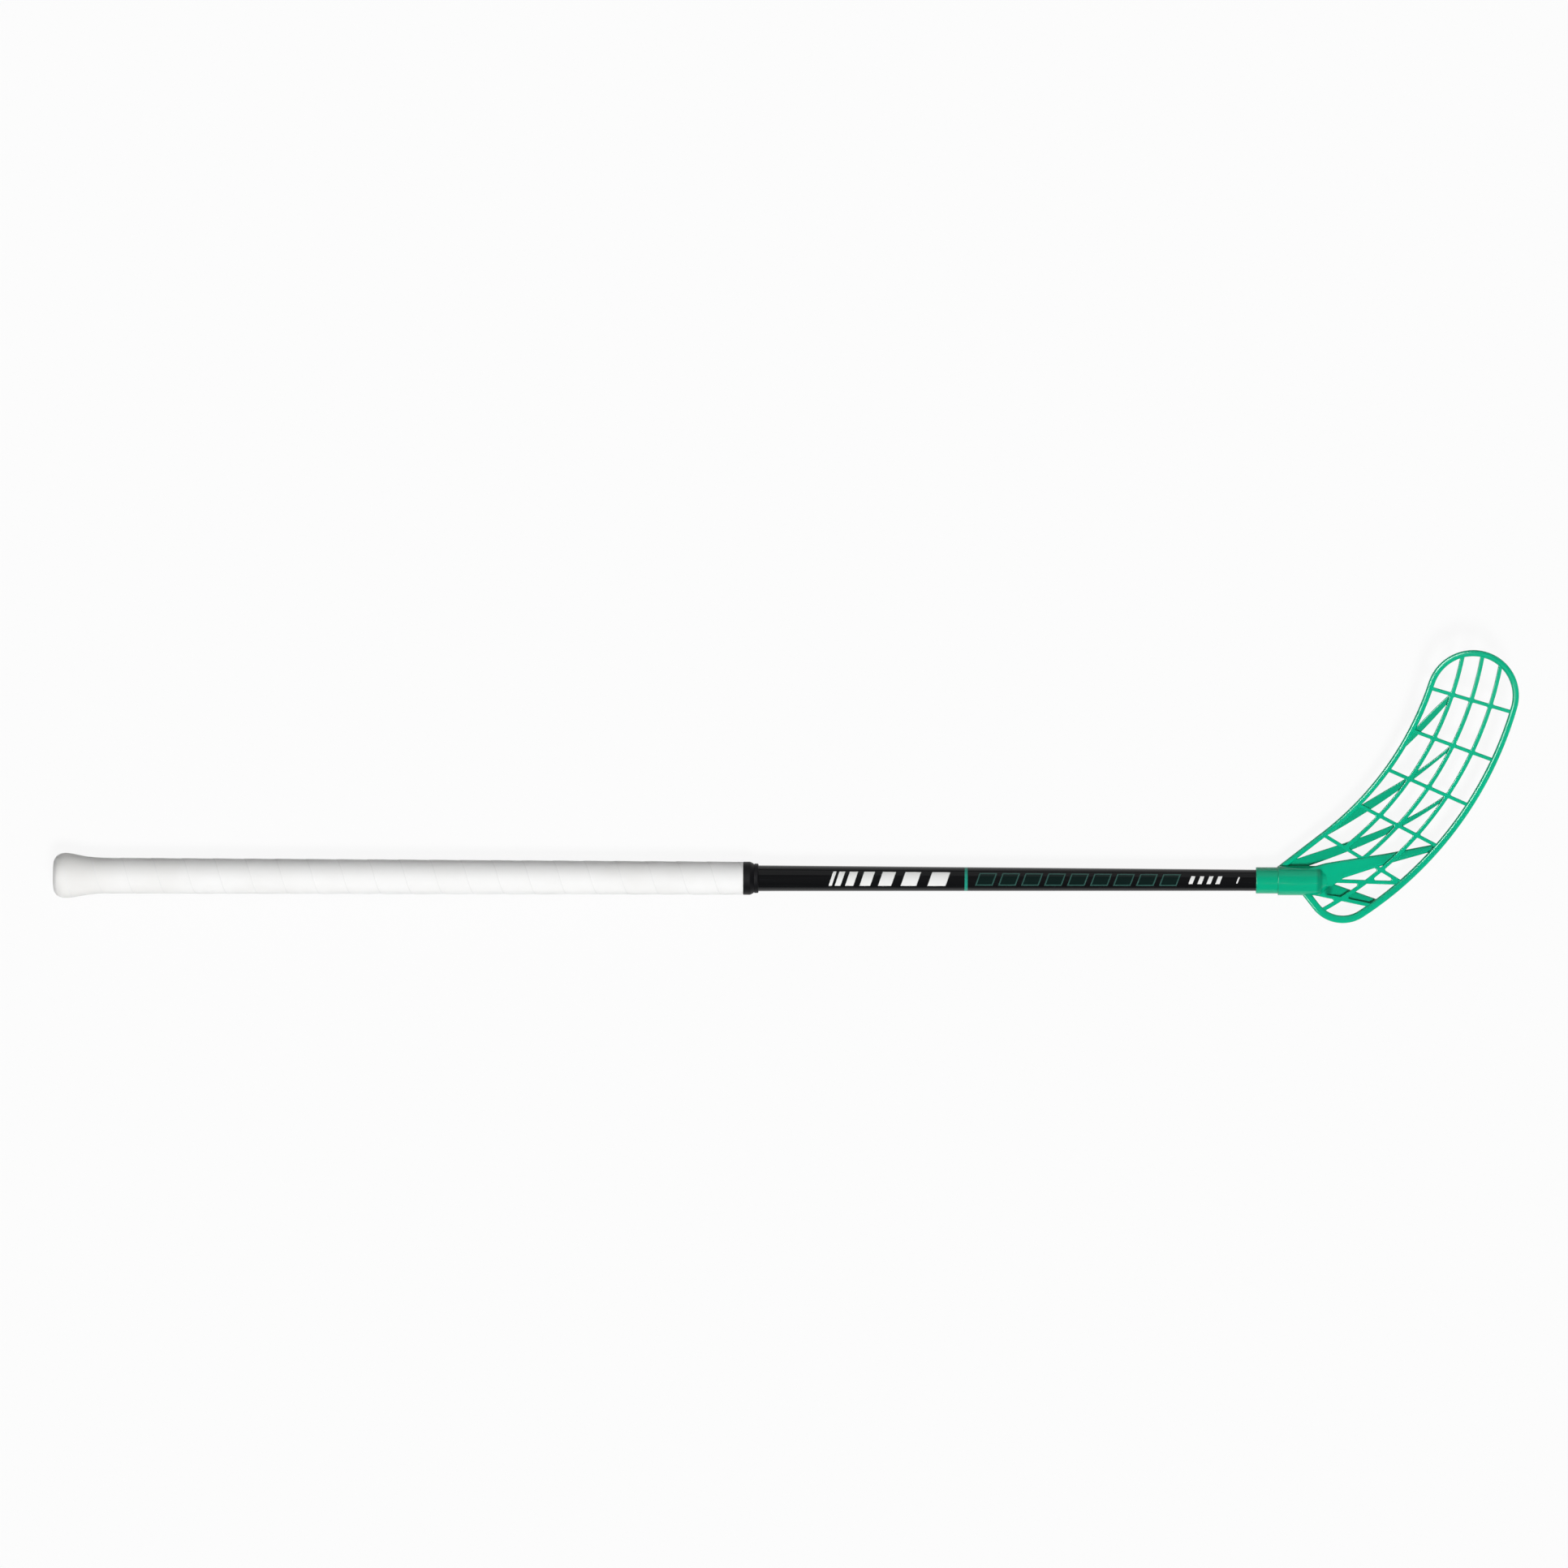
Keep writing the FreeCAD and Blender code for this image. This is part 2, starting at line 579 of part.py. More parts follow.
def lattice():
    """Ribs across the blade and along it in one level, with rounded edges and window corners."""
    faces = [ribbon(cross_rib_ends(i), [CROSS_RIB_WIDTH] * 2) for i in range(CROSS_RIB_COUNT)]
    faces += long_ribs()
    nose = vec(SOCKET_DEPTH + SOCKET_NOSE_LENGTH / 2, 0)
    faces.append(ribbon([nose, cross_rib_ends(0)[1]], [NOSE_RIB_WIDTH] * 2))
    sole = vec(SOCKET_DEPTH - SOLE_RIB_LEAD, SOLE_RIB_WIDTH / 2 - BODY_RADIUS)
    faces.append(ribbon([sole, RIM_MIDDLE.on_outer(SOLE_RIB_END)], [SOLE_RIB_WIDTH] * 2))
    prisms = [upright(face) for face in faces]
    prism = prisms[0].fuse(prisms[1:]).removeSplitter().Solids[0]
    corners = [edge for edge in prism.Edges if is_window_corner(edge, prism)]
    slab = hook_slab(LATTICE_FRONT, LATTICE_BACK)
    plate = prism.makeFillet(WINDOW_ROUND, corners).common(slab).Solids[0]
    mouth = line(RIM_INSIDE.arm_root(), RIM_INSIDE.on_inner(-ARM_ROOT))
    inside = flat_face(Part.__sortEdges__(RIM_INSIDE.edges() + [mouth]))
    return plate.makeFillet(RIB_ROUND, inside_edges(plate, inside))


def fin(points, widths):
    """Rounded bar behind the lattice along a row of points, with its width at each of them."""
    rounding = min(RIB_ROUND, ROUND_LIMIT * min(widths))
    return moulded(ribbon(points, widths), FIN_FRONT, FIN_BACK, rounding, 2 * max(widths))


def fins():
    """Slanted fins set behind the lattice, from the inner rim and the socket through its crossings."""
    last = CROSS_RIB_COUNT - 1
    toe_root = RIM_MIDDLE.on_inner(cross_rib_stations(last - 1)[0] - FIN_LEAD)
    toe_end = crossing(last, 0)
    middle_root = cross_rib_ends(0)[0]
    middle_mid = crossing(last - 2, 0)
    socket_root = vec(SOCKET_FIN_START, NECK_RADIUS)
    return [
        fin([toe_root, between(toe_root, toe_end, FIN_BELLY_SHARE), toe_end], TOE_FIN_WIDTHS),
        fin([middle_root, between(middle_root, middle_mid, FIN_BELLY_SHARE), middle_mid,
             crossing(last - 1, 1)], MIDDLE_FIN_WIDTHS),
        fin([socket_root, crossing(0, 0), crossing(1, 1), crossing(2, 2)], SOCKET_FIN_WIDTHS)]


def section(point, way, width, front, back):
    """Upright section of a wing: a rectangle across its way, with rounded corners."""
    aside = vec(-way.y, way.x)
    up = vec(0, 0, 1)
    rounding = min(WING_ROUND, ROUND_LIMIT * width, ROUND_LIMIT * (front - back))
    middle = point + up * ((front + back) / 2)
    across = aside * (width / 2)
    rise = up * ((front - back) / 2)
    edges = []
    # Each corner is entered along one side of the rectangle and left along the next one.
    for enter, leave, corner in ((up, -aside, across + rise), (-aside, -up, rise - across),
                                 (-up, aside, -across - rise), (aside, up, across - rise)):
        spot = middle + corner
        bow = spot + (leave - enter) * (rounding * (1 - DIAGONAL))
        edges.append(arc(spot - enter * rounding, bow, spot + leave * rounding))
    starts = [edge.Vertexes[0].Point for edge in edges]
    ends = [edge.Vertexes[1].Point for edge in edges]
    sides = [line(end, start) for end, start in zip(ends, starts[1:] + starts[:1])]
    return Part.Wire([edge for pair in zip(edges, sides) for edge in pair])


def wing(stations):
    """Tapered wing through stations of a point, a width and its front and back height."""
    way = (stations[-1][0] - stations[0][0]).normalize()
    return Part.makeLoft([section(point, way, *sizes) for point, *sizes in stations], True, True)


def wing_station(point, width, front):
    """Station of a wing behind the lattice: a point, a width and its front and back height."""
    height = bend_height(point)
    return point, width, height + front, height - FIN_BACK


def wings():
    """The wide wing from the socket to the outer rim and the sunken one to the heel's rim."""
    rim_end = cross_rib_ends(1)[1]
    root = vec(SOCKET_DEPTH - WING_ROOT_LEAD, WING_ROOT_SIDE)
    neck = vec(SOCKET_DEPTH + WING_NECK_REACH, WING_NECK_SIDE)
    waist = vec(SOCKET_DEPTH + WING_WAIST_REACH, WING_WAIST_SIDE)
    heel_root = vec(SOCKET_DEPTH - HEEL_WING_ROOT_LEAD, HEEL_WING_ROOT_SIDE)
    heel_neck = vec(SOCKET_DEPTH + HEEL_WING_NECK_REACH, HEEL_WING_NECK_SIDE)
    heel_end = RIM_MIDDLE.on_outer(HEEL_WING_END)
    return [
        wing([(root, WING_ROOT_WIDTH, WING_ROOT_FRONT, -WING_ROOT_FRONT),
              (neck, WING_NECK_WIDTH, WING_NECK_FRONT, -WING_NECK_FRONT),
              (waist, WING_WAIST_WIDTH, WING_WAIST_FRONT, -WING_NECK_FRONT),
              wing_station(between(waist, rim_end, WING_LEVEL_SHARE), WING_LEVEL_WIDTH, LATTICE_FRONT),
              wing_station(between(waist, rim_end, WING_DROP_SHARE), WING_DROP_WIDTH, FIN_FRONT),
              wing_station(rim_end, WING_TIP_WIDTH, FIN_FRONT)]),
        wing([(heel_root, HEEL_WING_ROOT_WIDTH, WING_NECK_FRONT, -WING_NECK_FRONT),
              wing_station(heel_neck, HEEL_WING_NECK_WIDTH, -HEEL_WING_SINK),
              wing_station(heel_end, WING_TIP_WIDTH, -HEEL_WING_SINK)])]


def socket():
    """Sleeve over the shaft's tip: neck, thicker body and a tapered nose."""
    body_end = SOCKET_DEPTH + SOCKET_END_WALL
    nose_end = body_end + SOCKET_NOSE_LENGTH
    return ring([(0, 0), (0, NECK_RADIUS, SOCKET_LIP_ROUND), (SOCKET_NECK_LENGTH, NECK_RADIUS),
                 (SOCKET_NECK_LENGTH, BODY_RADIUS, SOCKET_LIP_ROUND),
                 (body_end, BODY_RADIUS, SOCKET_END_ROUND),
                 (nose_end, SOCKET_NOSE_DIAMETER / 2), (nose_end, 0)])


def blade():
    """Blade moulding in one piece: socket, rim, lattice, fins and wings, with the shaft's bore."""
    carrier = socket().fuse([rim()] + wings() + fins())
    moulding = carrier.fuse(lattice())
    bore = Part.makeCylinder(BORE_RADIUS, 2 * SOCKET_DEPTH, vec(-SOCKET_DEPTH, 0), vec(1, 0, 0))
    moulding = moulding.cut(bore)
    moulding.translate(vec(MOUTH, 0))
    return moulding


NODES = {
    "shaft_tube": shaft_tube,
    "butt_cap": butt_cap,
    "grip_wrap": grip_wrap,
    "grip_collar": grip_collar,
    "blade_adhesive": blade_adhesive,
    "blade": blade,
}

os.makedirs("parts", exist_ok=True)
for name, make in NODES.items():
    shape = make()
    solids = shape.Solids
    print(name, "solids", len(solids), "valid", shape.isValid(), "volume", round(shape.Volume, 1))
    solid = solids[0] if len(solids) == 1 else shape
    solid.exportStep(f"parts/{name}.step")
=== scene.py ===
"""Looks of a floorball stick: wound white tape, printed black shaft and green lattice blade."""

from __future__ import annotations

import logging
import math
from collections.abc import Iterable
from dataclasses import dataclass
from enum import Enum
from typing import Any, Protocol

import bmesh
import bpy
from mathutils import Matrix, Vector

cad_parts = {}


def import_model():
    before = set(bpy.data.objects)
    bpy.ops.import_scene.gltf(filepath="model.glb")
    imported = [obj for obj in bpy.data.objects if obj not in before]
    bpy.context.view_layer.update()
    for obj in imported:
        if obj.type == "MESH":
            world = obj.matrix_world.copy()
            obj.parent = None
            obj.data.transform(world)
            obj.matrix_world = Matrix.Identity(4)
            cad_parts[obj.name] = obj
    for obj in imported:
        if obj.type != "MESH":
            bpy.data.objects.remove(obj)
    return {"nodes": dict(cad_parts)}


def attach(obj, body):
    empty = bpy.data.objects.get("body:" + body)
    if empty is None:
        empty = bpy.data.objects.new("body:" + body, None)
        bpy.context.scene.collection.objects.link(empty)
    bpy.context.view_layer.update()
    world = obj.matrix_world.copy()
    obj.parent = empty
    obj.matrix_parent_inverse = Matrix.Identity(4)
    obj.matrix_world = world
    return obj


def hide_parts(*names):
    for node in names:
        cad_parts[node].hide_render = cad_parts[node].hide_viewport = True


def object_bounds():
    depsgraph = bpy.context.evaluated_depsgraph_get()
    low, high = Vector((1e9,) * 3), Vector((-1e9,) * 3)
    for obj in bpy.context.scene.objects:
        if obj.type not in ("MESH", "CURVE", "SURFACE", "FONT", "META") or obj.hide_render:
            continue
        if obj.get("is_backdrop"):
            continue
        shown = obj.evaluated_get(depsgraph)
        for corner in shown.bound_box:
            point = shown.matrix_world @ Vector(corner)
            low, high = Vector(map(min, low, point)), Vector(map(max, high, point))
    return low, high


LOG = logging.getLogger("stick")
MILLIMETRE = 0.001
SEAM_LAYER = "seam_distance"

Pair = tuple[float, float]
Triple = tuple[float, float, float]
Colour = Triple


class Node(Enum):
    """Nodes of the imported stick."""

    SHAFT = "shaft_tube"
    CAP = "butt_cap"
    TAPE = "grip_wrap"
    COLLAR = "grip_collar"
    GLUE = "blade_adhesive"
    BLADE = "blade"


class Lamp(Enum):
    """Kinds of lamp in the studio."""

    SUN = "SUN"
    PANEL = "AREA"


class Side(Enum):
    """Sides of a cut across the stick, as directions along it."""

    BUTT = -1
    BLADE = 1


def opaque(colour: Colour) -> tuple[float, float, float, float]:
    """Colour with full cover, as a colour socket takes it."""
    return (*colour, 1.0)


class Value:
    """Number socket of a shader that takes part in Python expressions."""

    def __init__(self, shader: Shader, socket: bpy.types.NodeSocket) -> None:
        """Keeps the shader and the socket."""
        self.shader = shader
        self.socket = socket

    def maths(self, operation: str, *others: Value | float) -> Value:
        """Adds a Math node with this value as its first number.

        Args:
            operation: The Math node's operation.
            others: The second and third number.

        Returns:
            The node's result.
        """
        return self.shader.maths(operation, self, *others)

    def __add__(self, other: Value | float) -> Value:
        """Sum."""
        return self.maths("ADD", other)

    def __radd__(self, other: float) -> Value:
        """Sum with a plain number first."""
        return self.shader.maths("ADD", other, self)

    def __sub__(self, other: Value | float) -> Value:
        """Difference."""
        return self.maths("SUBTRACT", other)

    def __rsub__(self, other: float) -> Value:
        """Difference from a plain number."""
        return self.shader.maths("SUBTRACT", other, self)

    def __mul__(self, other: Value | float) -> Value:
        """Product."""
        return self.maths("MULTIPLY", other)

    def __rmul__(self, other: float) -> Value:
        """Product with a plain number first."""
        return self.shader.maths("MULTIPLY", other, self)

    def __truediv__(self, other: Value | float) -> Value:
        """Quotient."""
        return self.maths("DIVIDE", other)

    def __rtruediv__(self, other: float) -> Value:
        """Quotient of a plain number."""
        return self.shader.maths("DIVIDE", other, self)

    def __pow__(self, other: Value | float) -> Value:
        """Power."""
        return self.maths("POWER", other)

    def __rpow__(self, other: float) -> Value:
        """Power of a plain number."""
        return self.shader.maths("POWER", other, self)

    def __abs__(self) -> Value:
        """Size without its sign."""
        return self.maths("ABSOLUTE")

    def fraction(self) -> Value:
        """Part after the whole number."""
        return self.maths("FRACT")

    def most(self, other: Value | float) -> Value:
        """Larger of two values."""
        return self.maths("MAXIMUM", other)

    def rising(self, low: float, high: float) -> Value:
        """Smooth step.

        Args:
            low: Where the step leaves 0.
            high: Where the step reaches 1.

        Returns:
            The step from 0 to 1.
        """
        node = self.shader.node("ShaderNodeMapRange", {"interpolation_type": "SMOOTHSTEP"},
                                {"Value": self, "From Min": low, "From Max": high})
        return Value(self.shader, node.outputs[0])

    def between(self, low: float, high: float, soft: float) -> Value:
        """Band mask.

        Args:
            low: Middle of the rising edge.
            high: Middle of the falling edge.
            soft: Width of both edges.

        Returns:
            1 inside the band and 0 outside.
        """
        half = soft / 2
        return self.rising(low - half, low + half) * (1 - self.rising(high - half, high + half))


class Shader:
    """Node tree of one material."""

    # Places of the Mix node's sockets when it mixes colours.
    MIX_SHARE = 0
    MIX_FIRST = 6
    MIX_SECOND = 7
    MIX_RESULT = 2

    def __init__(self, name: str) -> None:
        """Makes an empty material.

        Args:
            name: The material's name.
        """
        self.material = bpy.data.materials.new(name)
        self.material.use_nodes = True
        self.tree = self.material.node_tree
        self.tree.nodes.clear()

    def node(self, kind: str, settings: dict[str, Any] | None = None,
             inputs: dict[str | int, Any] | None = None) -> bpy.types.Node:
        """Adds a node.

        Args:
            kind: The node's type.
            settings: The node's own settings.
            inputs: The values or links of its sockets.

        Returns:
            The new node.
        """
        node = self.tree.nodes.new(kind)
        for name, value in (settings or {}).items():
            setattr(node, name, value)
        for key, value in (inputs or {}).items():
            source = value.socket if isinstance(value, Value) else value
            if isinstance(source, bpy.types.NodeSocket):
                self.tree.links.new(source, node.inputs[key])
            else:
                node.inputs[key].default_value = source
        return node

    def maths(self, operation: str, *numbers: Value | float) -> Value:
        """Adds a Math node.

        Args:
            operation: The node's operation.
            numbers: Its numbers.

        Returns:
            The node's result.
        """
        node = self.node("ShaderNodeMath", {"operation": operation}, dict(enumerate(numbers)))
        return Value(self, node.outputs[0])

    def place(self) -> bpy.types.NodeSocket:
        """Reads where a point lies on its piece.

        Returns:
            Object coordinates in millimetres.
        """
        where = self.node("ShaderNodeTexCoord").outputs["Object"]
        scaled = self.node("ShaderNodeVectorMath", {"operation": "SCALE"},
                           {"Vector": where, "Scale": 1 / MILLIMETRE})
        return scaled.outputs["Vector"]

    def parts(self, vector: bpy.types.NodeSocket) -> tuple[Value, Value, Value]:
        """Splits a vector.

        Args:
            vector: The vector socket.

        Returns:
            Its three numbers.
        """
        node = self.node("ShaderNodeSeparateXYZ", None, {"Vector": vector})
        x, y, z = (Value(self, socket) for socket in node.outputs)
        return x, y, z

    def stretched(self, vector: bpy.types.NodeSocket, scale: Triple) -> bpy.types.NodeSocket:
        """Scales a vector's three numbers.

        Args:
            vector: The vector socket.
            scale: Factors along X, Y and Z.

        Returns:
            The scaled vector.
        """
        node = self.node("ShaderNodeVectorMath", {"operation": "MULTIPLY"}, {0: vector, 1: scale})
        return node.outputs["Vector"]

    def noise(self, vector: bpy.types.NodeSocket, scale: float = 1.0, detail: float = 3.0) -> Value:
        """Cloudy noise.

        Args:
            vector: Where to look.
            scale: Spots per unit of that vector.
            detail: Layers of finer spots.

        Returns:
            Noise about 0.5.
        """
        node = self.node("ShaderNodeTexNoise", None, {"Vector": vector, "Scale": scale, "Detail": detail})
        return Value(self, node.outputs[0])

    def attribute(self, name: str) -> Value:
        """Number that a mesh carries at its points."""
        return Value(self, self.node("ShaderNodeAttribute", {"attribute_name": name}).outputs["Fac"])

    def mix(self, share: Value, first: Colour | bpy.types.NodeSocket,
            second: Colour | bpy.types.NodeSocket) -> bpy.types.NodeSocket:
        """Mixes two colours.

        Args:
            share: Share of the second colour.
            first: First colour, plain or linked.
            second: Second colour, plain or linked.

        Returns:
            The mixed colour.
        """
        inputs = {self.MIX_SHARE: share}
        for key, colour in ((self.MIX_FIRST, first), (self.MIX_SECOND, second)):
            inputs[key] = opaque(colour) if isinstance(colour, tuple) else colour
        return self.node("ShaderNodeMix", {"data_type": "RGBA"}, inputs).outputs[self.MIX_RESULT]

    def bump(self, height: Value, depth: float, strength: float) -> bpy.types.NodeSocket:
        """Turns heights into a bumped normal.

        Args:
            height: Heights from 0 to 1.
            depth: Height of 1 in metres.
            strength: Share of the bump that shows.

        Returns:
            The normal.
        """
        node = self.node("ShaderNodeBump", None, {"Height": height, "Distance": depth, "Strength": strength})
        return node.outputs["Normal"]

    def finish(self, inputs: dict[str, Any]) -> bpy.types.Material:
        """Ends the tree in one Principled shader.

        Args:
            inputs: The shader's sockets.

        Returns:
            The material.
        """
        surface = self.node("ShaderNodeBsdfPrincipled", None, inputs)
        self.node("ShaderNodeOutputMaterial", None, {"Surface": surface.outputs[0]})
        return self.material


class Finish(Protocol):
    """Finish of a piece, with lengths on the surface in millimetres and bump depths in metres."""

    def make(self) -> bpy.types.Material:
        """Builds the material."""


@dataclass(frozen=True)
class TapeFinish:
    """Soft white cushioned tape, a little darker where its turns meet and towards the butt."""

    colour: Colour = (0.85, 0.85, 0.845)
    darker_tone: Colour = (0.75, 0.742, 0.72)
    seam_colour: Colour = (0.78, 0.78, 0.775)
    seam_reach: float = 0.6
    butt_darkening: Pair = (25.0, 75.0)
    butt_darkening_share: float = 0.6
    cloud_scale: float = 0.018
    cloud_edge: Pair = (0.42, 0.72)
    cloud_share: float = 0.35
    pore_scale: float = 1.6
    pore_edge: Pair = (0.1, 0.6)
    pore_share: float = 0.6
    fuzz_scale: float = 3.5
    grain_depth: float = 0.00006
    grain_strength: float = 0.5
    roughness: float = 0.55
    roughness_change: float = 0.16

    def make(self) -> bpy.types.Material:
        """Builds the material, with fine pores and a soft line along each seam.

        Returns:
            The material.
        """
        shader = Shader("tape_white")
        where = shader.place()
        x, _, _ = shader.parts(where)
        cloud = shader.noise(where, self.cloud_scale)
        # The tape turns darker towards the butt, besides its random clouds.
        towards_butt = (1 - x.rising(*self.butt_darkening)) * self.butt_darkening_share
        darkening = (cloud.rising(*self.cloud_edge) * self.cloud_share).most(towards_butt)
        toned = shader.mix(darkening, self.colour, self.darker_tone)
        seam = 1 - shader.attribute(SEAM_LAYER).rising(0.0, self.seam_reach)
        pores = shader.node("ShaderNodeTexVoronoi", {"feature": "F1"},
                            {"Vector": where, "Scale": self.pore_scale})
        pore = Value(shader, pores.outputs["Distance"]).rising(*self.pore_edge)
        fuzz = shader.noise(where, self.fuzz_scale)
        grain = pore * self.pore_share + fuzz * (1 - self.pore_share)
        return shader.finish({
            "Base Color": shader.mix(seam, toned, self.seam_colour),
            "Roughness": self.roughness + cloud * self.roughness_change,
            "Specular IOR Level": 0.28,
            "Sheen Weight": 0.15,
            "Sheen Roughness": 0.5,
            "Normal": shader.bump(grain, self.grain_depth, self.grain_strength),
        })


@dataclass(frozen=True)
class RubberFinish:
    """Moulded rubber with a fine matt grain and a parting line along its sides."""

    name: str
    colour: Colour
    dust: Colour
    roughness: float
    gloss: float
    roughness_change: float = 0.14
    dust_scale: float = 0.12
    dust_edge: Pair = (0.5, 0.8)
    dust_share: float = 0.5
    parting_reach: float = 0.25
    grain_scale: float = 2.4
    grain_share: float = 0.6
    grain_depth: float = 0.00005
    grain_strength: float = 0.6

    def make(self) -> bpy.types.Material:
        """Builds the material, with dust in clouds.

        Returns:
            The material.
        """
        shader = Shader(self.name)
        where = shader.place()
        _, _, z = shader.parts(where)
        grain = shader.noise(where, self.grain_scale)
        dusty = shader.noise(where, self.dust_scale).rising(*self.dust_edge)
        parting = 1 - abs(z).rising(0.0, self.parting_reach)
        height = grain * self.grain_share + parting * (1 - self.grain_share)
        return shader.finish({
            "Base Color": shader.mix(dusty * self.dust_share, self.colour, self.dust),
            "Roughness": self.roughness + grain * self.roughness_change,
            "Specular IOR Level": self.gloss,
            "Normal": shader.bump(height, self.grain_depth, self.grain_strength),
        })


CAP_RUBBER = RubberFinish("cap_white_rubber", colour=(0.80, 0.80, 0.79), dust=(0.66, 0.66, 0.65),
                          roughness=0.5, gloss=0.4)
COLLAR_RUBBER = RubberFinish("collar_black_rubber", colour=(0.004, 0.004, 0.005), dust=(0.009, 0.009, 0.010),
                             roughness=0.36, gloss=0.12)


@dataclass(frozen=True)
class GlueFinish:
    """Set hot-melt glue: amber, smeared along the shaft."""

    colour: Colour = (0.60, 0.41, 0.17)
    pale: Colour = (0.68, 0.51, 0.26)
    smear_scale: Triple = (0.12, 0.22, 0.22)
    smear_edge: Pair = (0.35, 0.7)
    smear_depth: float = 0.0002
    smear_strength: float = 0.7
    roughness: float = 0.15
    roughness_change: float = 0.25

    def make(self) -> bpy.types.Material:
        """Builds the material, with drawn-out smears.

        Returns:
            The material.
        """
        shader = Shader("glue_film")
        smear = shader.noise(shader.stretched(shader.place(), self.smear_scale))
        return shader.finish({
            "Base Color": shader.mix(smear.rising(*self.smear_edge), self.colour, self.pale),
            "Roughness": self.roughness + smear * self.roughness_change,
            "Normal": shader.bump(smear, self.smear_depth, self.smear_strength),
        })


@dataclass(frozen=True)
class MarkRow:
    """Row of equal slanted marks along the front of the shaft, in millimetres."""

    start: float
    pitch: float
    count: int
    width: float
    half_height: float

    def mask(self, along: Value, around: Value, edge: float, inset: float = 0.0) -> Value:
        """Marks of the row.

        Args:
            along: Distance from the butt, slanted.
            around: Distance round the shaft from its front.
            edge: Width of the marks' soft edges.
            inset: Distance by which each mark is drawn in.

        Returns:
            The mask.
        """
        within = ((along - self.start) / self.pitch).fraction() * self.pitch
        margin = (self.pitch - self.width) / 2 + inset
        half_height = self.half_height - inset
        inside = along.between(self.start, self.start + self.pitch * self.count, edge)
        mark = within.between(margin, self.pitch - margin, edge)
        return inside * mark * around.between(-half_height, half_height, edge)


@dataclass(frozen=True)
class ShaftPrint:
    """Plain printed marks along the front of the shaft, in millimetres, and in steps for the bars."""

    slant: float = 0.34
    edge: float = 0.22
    bars_start: float = 638.0
    bars_length: float = 108.0
    bars_half_height: float = 6.0
    bars_steps: float = 8.0
    bars_first_step: float = 0.95
    bars_end_edge: float = 0.02
    bar_lead: float = 0.02
    bar_fill: float = 0.62
    bar_edge: float = 0.03
    ring_middle: float = 751.0
    ring_width: float = 2.5
    tiles: MarkRow = MarkRow(start=758.0, pitch=18.9, count=9, width=14.5, half_height=5.6)
    tile_line: float = 1.1
    ticks: MarkRow = MarkRow(start=933.0, pitch=7.4, count=4, width=3.4, half_height=3.6)
    end_tick: MarkRow = MarkRow(start=973.3, pitch=2.6, count=1, width=1.3, half_height=3.0)

    def bars(self, along: Value, around: Value) -> Value:
        """Slanted bars that grow wider towards the blade.

        Args:
            along: Distance from the butt, slanted.
            around: Distance round the shaft from its front.

        Returns:
            The mask.
        """
        share = (along - self.bars_start) / self.bars_length
        step = (share.most(0.0) ** 0.5) * self.bars_steps
        inside = step.between(self.bars_first_step, self.bars_steps, self.bars_end_edge)
        bar = step.fraction().between(self.bar_lead, self.bar_fill, self.bar_edge)
        return inside * bar * around.between(-self.bars_half_height, self.bars_half_height, self.edge)

    def white(self, along: Value, around: Value) -> Value:
        """All the white marks.

        Args:
            along: Distance from the butt, slanted.
            around: Distance round the shaft from its front.

        Returns:
            The mask.
        """
        ticks = self.ticks.mask(along, around, self.edge)
        end = self.end_tick.mask(along, around, self.edge)
        return self.bars(along, around).most(ticks).most(end)

    def ring(self, x: Value) -> Value:
        """Mask of the ring stripe at a distance from the butt."""
        half = self.ring_width / 2
        return x.between(self.ring_middle - half, self.ring_middle + half, self.edge)


@dataclass(frozen=True)
class ShaftFinish:
    """Clear-coated black composite with printed marks."""

    colour: Colour = (0.0016, 0.0018, 0.0024)
    streak: Colour = (0.0032, 0.0036, 0.0044)
    streak_scale: Triple = (0.02, 1.2, 1.2)
    streak_edge: Pair = (0.4, 0.75)
    white: Colour = (0.80, 0.80, 0.79)
    teal: Colour = (0.028, 0.085, 0.072)
    tile_fill: Colour = (0.0004, 0.009, 0.0075)
    green: Colour = (0.015, 0.28, 0.20)
    print_radius: float = 9.9
    marks: ShaftPrint = ShaftPrint()
    ripple_scale: float = 0.6
    ripple_depth: float = 0.00002
    ripple_strength: float = 0.3
    roughness: float = 0.40
    roughness_change: float = 0.12

    def make(self) -> bpy.types.Material:
        """Builds the material, with the prints under the clear coat and faint drawn streaks.

        Returns:
            The material.
        """
        shader = Shader("shaft_black_gloss")
        where = shader.place()
        x, y, z = shader.parts(where)
        around = y.maths("ARCTAN2", z) * self.print_radius
        along = x - around * self.marks.slant
        tile = self.marks.tiles.mask(along, around, self.marks.edge)
        tile_inside = self.marks.tiles.mask(along, around, self.marks.edge, self.marks.tile_line)
        streaks = shader.noise(shader.stretched(where, self.streak_scale))
        ripple = shader.noise(where, self.ripple_scale)
        base = shader.mix(streaks.rising(*self.streak_edge), self.colour, self.streak)
        filled = shader.mix(tile, base, self.tile_fill)
        lined = shader.mix(tile - tile_inside, filled, self.teal)
        ringed = shader.mix(self.marks.ring(x), lined, self.green)
        return shader.finish({
            "Base Color": shader.mix(self.marks.white(along, around), ringed, self.white),
            "Roughness": self.roughness + streaks * self.roughness_change,
            "Specular IOR Level": 0.02,
            "Coat Weight": 1.0,
            "Coat IOR": 1.28,
            "Coat Roughness": 0.07,
            "Normal": shader.bump(ripple, self.ripple_depth, self.ripple_strength),
        })


def away(x: Value, y: Value, centre: Pair) -> Value:
    """Distance of a place from a centre, seen from above.

    Args:
        x: Distance along the shaft.
        y: Distance across it.
        centre: The centre's two distances.

    Returns:
        The distance.
    """
    return ((x - centre[0]) ** 2.0 + (y - centre[1]) ** 2.0) ** 0.5


